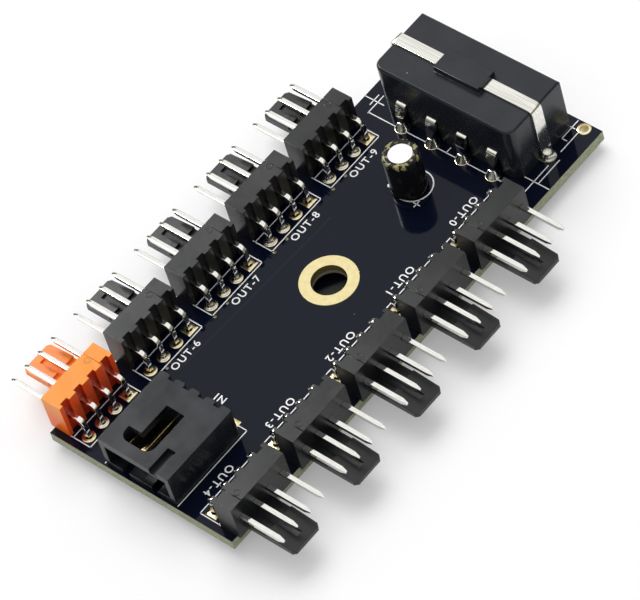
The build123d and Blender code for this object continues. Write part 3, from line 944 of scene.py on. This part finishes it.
ring_profile = [(RING_IN, 0), (RING_OUT, 0), (RING_OUT, INK), (RING_IN, INK)]
ring = as_master(turned(ring_profile, 72))
dot = as_master(turned([(0, 0), (DOT, 0), (DOT, INK), (0, INK)], 20, closed=False))
stamp(outlines, ring, at(17.67, 0.30))
stamp(outlines, dot, at(16.05, 3.02))
piece("printed_outlines", outlines, white_ink)
print("outlines printed")

# %% [markdown]
# ## Numbers
# A number is set in type, made a mesh as thick as the ink and then laid in its place. The type is
# fattened a little, as ink spreads. The orange header hides its own number, so it gets none.

# %% Printed numbers
NEAR_TEXT, FAR_TEXT = -7.95, 8.28
SPREAD = 0.02
numbers = bmesh.new()


def label(text, px, py, spin, size=1.52):
    """Prints a word with its middle at a place, turned by that many degrees."""
    type_set = bpy.data.curves.new("type", "FONT")
    type_set.body = text
    type_set.size = size * MM
    type_set.align_x = "CENTER"
    type_set.align_y = "CENTER"
    type_set.space_character = 1.22
    type_set.offset = SPREAD * MM
    type_set.extrude = INK / 2 * MM
    holder = bpy.data.objects.new("type", type_set)
    bpy.context.scene.collection.objects.link(holder)
    depsgraph = bpy.context.evaluated_depsgraph_get()
    printed = bpy.data.meshes.new_from_object(holder.evaluated_get(depsgraph))
    bpy.data.objects.remove(holder)
    stamp(numbers, printed, at(px, py, INK / 2, spin))


for number, center in enumerate(centers):
    if number in NEAR_ROW:
        nudge = 1.1 if number == 0 else 0.05
        label(f"OUT-{number}", center + nudge, NEAR_TEXT, 180)
    elif number != ORANGE:
        label(f"OUT-{number}", center + 0.4, FAR_TEXT, 0)
label("IN", -21.75, 0.0, -90)
piece("printed_numbers", numbers, white_ink)
print("nine numbers and one word printed")

# %% [markdown]
# ## Small marks of making
# An ejector pin left a ring on the top of each header. Beside the far row, tiny holes in the
# board are filled and covered with mask.

# %% Marks
EJECTOR_X, EJECTOR_Y = 2.58, 4.1
ring_profile = [(0.30, -0.02), (0.38, 0.035), (0.46, 0.035), (0.54, -0.02)]
ejector = as_master(turned(ring_profile, 28))
for slot, plastic, chosen in (
    ("black_plastic", black_plastic, [n for n in range(HEADERS) if n != ORANGE]),
    ("orange_plastic", orange_plastic, [ORANGE]),
):
    shape = bmesh.new()
    on_top = at(EJECTOR_X, EJECTOR_Y, housing_top)
    stamp(shape, ejector, *(header_places[n] @ on_top for n in chosen))
    piece(f"ejector_rings_{slot}", shape, plastic)
dome_profile = [(0, -0.02), (0.28, -0.02), (0.24, 0.02), (0.14, 0.04), (0, 0.03)]
covered = as_master(turned(dome_profile, 20, closed=False))
shape = bmesh.new()
for center in centers[ORANGE + 1:]:
    stamp(shape, covered, at(center - 4.9, 9.08), at(center - 2.4, 9.12))
piece("covered_holes", shape, via_copper)
print("marks made")

# %% [markdown]
# ## Floor
# The hub lies on white paper, which burns out to plain white in the photograph and still keeps a
# soft shadow. So part of its white is a glow that only the camera and mirrors see, and the rest
# is paint that the lamp lights. Under the mounting hole the paper is painted dark and has no glow,
# a painted shade for the deep shade under the board, and it is darker still towards the far side.

# %% Floor
sheet_mesh = bpy.data.meshes.new("floor")
sheet_shape = bmesh.new()
bmesh.ops.create_grid(sheet_shape, x_segments=2, y_segments=2, size=3)
bmesh.ops.translate(sheet_shape, vec=(0, 0, cad_box[0].z), verts=sheet_shape.verts)
sheet_shape.to_mesh(sheet_mesh)
sheet_shape.free()
floor = bpy.data.objects.new("floor", sheet_mesh)
bpy.context.scene.collection.objects.link(floor)
SHADE_IN, SHADE_OUT = 7, 11
paper = Finish("white_paper", Specular_IOR_Level=0.0, Roughness=0.9, Emission_Strength=1.0)
from_hole = paper.node("ShaderNodeVectorMath", {"operation": "LENGTH"}, {0: paper.place}, "Value")
# Painted shade: near the mounting hole the paper is painted dark and loses its glow, darker towards
# the far side.
lit_paper = paper.step(from_hole, SHADE_IN, SHADE_OUT)
pulp = paper.blend(paper.noise(0.02, 2), (0.73, 0.73, 0.735, 1), (0.75, 0.75, 0.75, 1))
x, y = paper.axes()[:2]
painted_deep_shade = paper.step(0.6 * x + y, 1.2, 2.0)
painted_shade = paper.blend(painted_deep_shade, (0.055, 0.060, 0.052, 1), (0.006, 0.006, 0.014, 1))
paper.set("Base Color", paper.blend(lit_paper, painted_shade, pulp))
ray = paper.node("ShaderNodeLightPath", output="Is Camera Ray")
seen = ray + ray.also("Is Glossy Ray") + ray.also("Is Transmission Ray")
paper.set("Emission Color", paper.blend(seen * lit_paper, (0, 0, 0, 1), (0.25, 0.25, 0.25, 1)))
sheet_mesh.materials.append(paper.material)
print("paper at", round(cad_box[0].z / MM, 2), "mm")

# %% [markdown]
# ## Room and lamps
# The room is a white ceiling over darker, warmer walls, and the paper runs up the foot of the
# walls: flat tops mirror the ceiling, bends pick up the walls and cones of solder the paper,
# which gives metal its contrast. Painted surfaces get an even light from all sides. The key lamp
# behind the hub adds a direction, so shadows fall towards the camera. It would show as a patch in
# the glossy board, so it isn't mirrored. A sheen lamp further to the side is only mirrored and
# lights nothing else. It draws the soft sheen on the satin plastic.

# %% Room and lamps
world = bpy.data.worlds.new("white_room")
bpy.context.scene.world = world
world.use_nodes = True
room = Tree(world.node_tree)
way = room.node("ShaderNodeTexCoord", output="Generated")
height = room.node("ShaderNodeSeparateXYZ", {}, {"Vector": way}, "Z")
walls = [
    (0.0, (0.80, 0.80, 0.78, 1)),
    (0.10, (0.70, 0.70, 0.67, 1)),
    (0.24, (0.14, 0.14, 0.11, 1)),
    (0.38, (0.22, 0.21, 0.15, 1)),
    (0.58, (0.42, 0.40, 0.31, 1)),
    (0.71, (1, 1, 1, 1)),
]
mirrored = room.node("ShaderNodeValToRGB", {"stops": walls}, {"Fac": height}, "Color")
ray = room.node("ShaderNodeLightPath", output="Is Camera Ray")
glossy = ray.also("Is Glossy Ray") + ray.also("Is Transmission Ray")
light = room.blend(glossy, (0.60, 0.60, 0.61, 1), mirrored)
room.feed(world.node_tree.nodes["Background"], "Color", room.blend(ray, light, (1, 1, 1, 1)))


def soft_lamp(name, place, watts, across):
    """A round lamp, its place and width in metres, that shines on the hub's middle."""
    light_disk = bpy.data.lights.new(name, "AREA")
    light_disk.shape = "DISK"
    light_disk.size = across
    light_disk.energy = watts
    lamp = bpy.data.objects.new(name, light_disk)
    lamp.location = place
    lamp.rotation_euler = (-Vector(place)).to_track_quat("-Z", "Y").to_euler()
    bpy.context.scene.collection.objects.link(lamp)
    return lamp


soft_lamp("key_lamp", (0.24, 0.36, 0.76), 4.8, 0.8).visible_glossy = False
soft_lamp("sheen_lamp", (0.06, 0.58, 0.58), 4.6, 0.34).visible_diffuse = False
bpy.context.scene.view_settings.view_transform = "Standard"
print("room and two lamps lit")
